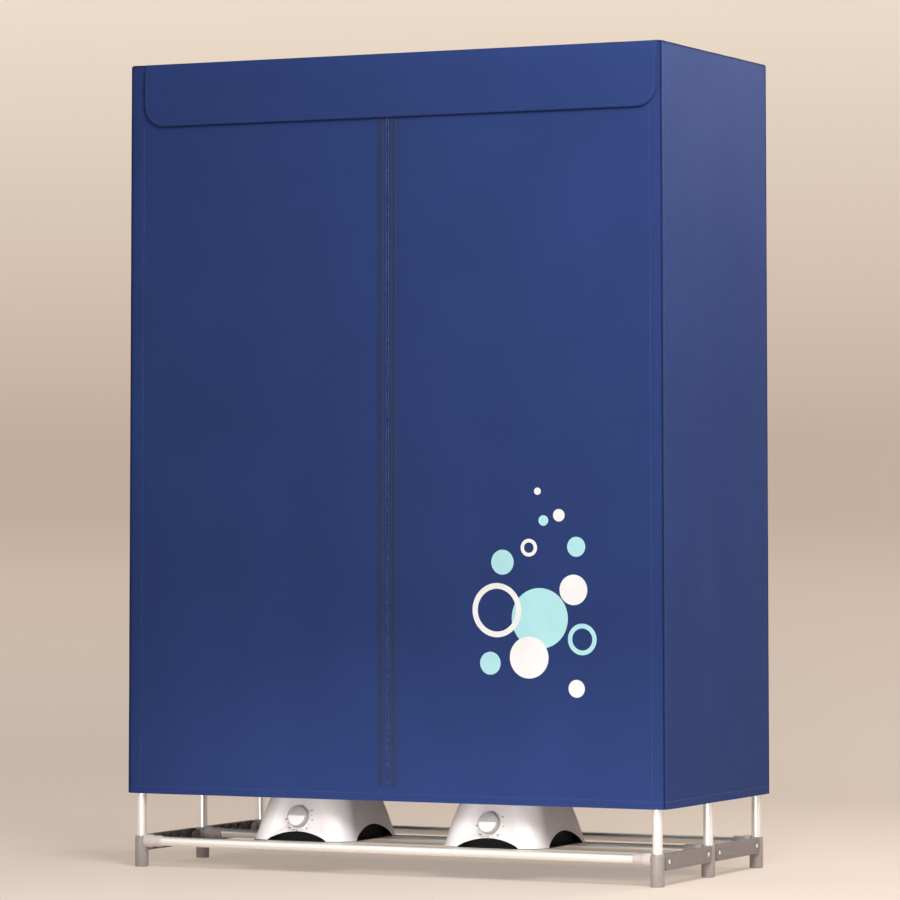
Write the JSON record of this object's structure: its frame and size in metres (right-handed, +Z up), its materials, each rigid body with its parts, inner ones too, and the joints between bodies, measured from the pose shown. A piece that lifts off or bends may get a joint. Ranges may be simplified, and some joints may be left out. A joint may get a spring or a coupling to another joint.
{
  "type": "portable clothes dryer",
  "caption": "Portable clothes dryer: a tube frame under a blue cloth cover with zipped front doors, over fan heaters that stand on the bottom rails.",
  "frame": {"origin": "on the floor, under the middle of the whole part's box", "axes": "+X to the right seen from the front, +Y to the back, +Z up"},
  "size_m": [1.1586, 0.5442, 1.6],
  "materials": {
    "stainless_tube": "bright drawn stainless tube",
    "grey_moulding": "grey injection moulding",
    "blue_cloth": "coated plain-weave cloth",
    "zip_slider": "zinc casting painted to match the cloth",
    "white_housing": "white moulded housing, half gloss",
    "black_moulding": "black moulding",
    "grey_knob": "light grey moulding",
    "element_aluminium": "bare fins",
    "motor_can": "drawn steel can"
  },
  "bodies": {
    "dryer": {"post_front_left": "stainless_tube", "post_mid_left": "stainless_tube", "post_rear_left": "stainless_tube", "foot_front_left": "grey_moulding", "foot_mid_left": "grey_moulding", "foot_rear_left": "grey_moulding", "top_corner_front_left": "grey_moulding", "top_corner_mid_left": "grey_moulding", "top_corner_rear_left": "grey_moulding", "side_arm_bottom_front_left": "grey_moulding", "side_arm_bottom_rear_left": "grey_moulding", "side_arm_top_front_left": "grey_moulding", "side_arm_top_rear_left": "grey_moulding", "post_front_right": "stainless_tube", "post_mid_right": "stainless_tube", "post_rear_right": "stainless_tube", "foot_front_right": "grey_moulding", "foot_mid_right": "grey_moulding", "foot_rear_right": "grey_moulding", "top_corner_front_right": "grey_moulding", "top_corner_mid_right": "grey_moulding", "top_corner_rear_right": "grey_moulding", "side_arm_bottom_front_right": "grey_moulding", "side_arm_bottom_rear_right": "grey_moulding", "side_arm_top_front_right": "grey_moulding", "side_arm_top_rear_right": "grey_moulding", "rail_bottom_front": "stainless_tube", "rail_bottom_mid": "stainless_tube", "rail_bottom_rear": "stainless_tube", "rail_top_front": "stainless_tube", "rail_top_mid": "stainless_tube", "rail_top_rear": "stainless_tube", "cover_top": "blue_cloth", "cover_left": "blue_cloth", "cover_right": "blue_cloth", "cover_back": "blue_cloth", "cover_header": "blue_cloth", "heater_left_housing": "white_housing", "heater_left_base_plate": "black_moulding", "heater_left_outlet": "white_housing", "heater_left_element": "element_aluminium", "heater_left_motor": "motor_can", "heater_left_timer": "black_moulding", "heater_left_gland": "black_moulding", "heater_right_housing": "white_housing", "heater_right_base_plate": "black_moulding", "heater_right_outlet": "white_housing", "heater_right_element": "element_aluminium", "heater_right_motor": "motor_can", "heater_right_timer": "black_moulding", "heater_right_gland": "black_moulding"},
    "flap": {"cover_flap": "blue_cloth"},
    "door_left": {"door_left": "blue_cloth"},
    "door_right": {"door_right": "blue_cloth"},
    "zip_slider": {"zip_slider": "zip_slider"},
    "knob_left": {"heater_left_knob": "grey_knob"},
    "fan_left": {"heater_left_impeller": "black_moulding"},
    "knob_right": {"heater_right_knob": "grey_knob"},
    "fan_right": {"heater_right_impeller": "black_moulding"}
  },
  "joints": [
    {"name": "flap_lift", "type": "hinge", "parent": "dryer", "child": "flap", "pos_m": [0, -0.26364, 1.6], "axis": [-1, 0, 0], "range_deg": [0, 235]},
    {"name": "door_left_swing", "type": "hinge", "parent": "dryer", "child": "door_left", "pos_m": [-0.5758, -0.26194, 0.81], "axis": [0, 0, -1], "range_deg": [0, 170]},
    {"name": "door_right_swing", "type": "hinge", "parent": "dryer", "child": "door_right", "pos_m": [0.5758, -0.26194, 0.81], "axis": [0, 0, 1], "range_deg": [0, 170]},
    {"name": "zip_slide", "type": "slide", "parent": "dryer", "child": "zip_slider", "axis": [0, 0, -1], "range_m": [0, 1.322]},
    {"name": "knob_left_turn", "type": "hinge", "parent": "dryer", "child": "knob_left", "pos_m": [-0.2143, -0.22627, 0.1072], "axis": [0, 0.9623, -0.2721], "range_deg": [0, 270]},
    {"name": "knob_right_turn", "type": "hinge", "parent": "dryer", "child": "knob_right", "pos_m": [0.2007, -0.22627, 0.1072], "axis": [0, 0.9623, -0.2721], "range_deg": [0, 270]},
    {"name": "fan_left_spin", "type": "hinge", "parent": "dryer", "child": "fan_left", "pos_m": [-0.212, -0.11821, 0.1041], "axis": [0, 0, 1], "continuous": true},
    {"name": "fan_right_spin", "type": "hinge", "parent": "dryer", "child": "fan_right", "pos_m": [0.203, -0.11821, 0.1041], "axis": [0, 0, 1], "continuous": true}
  ]
}
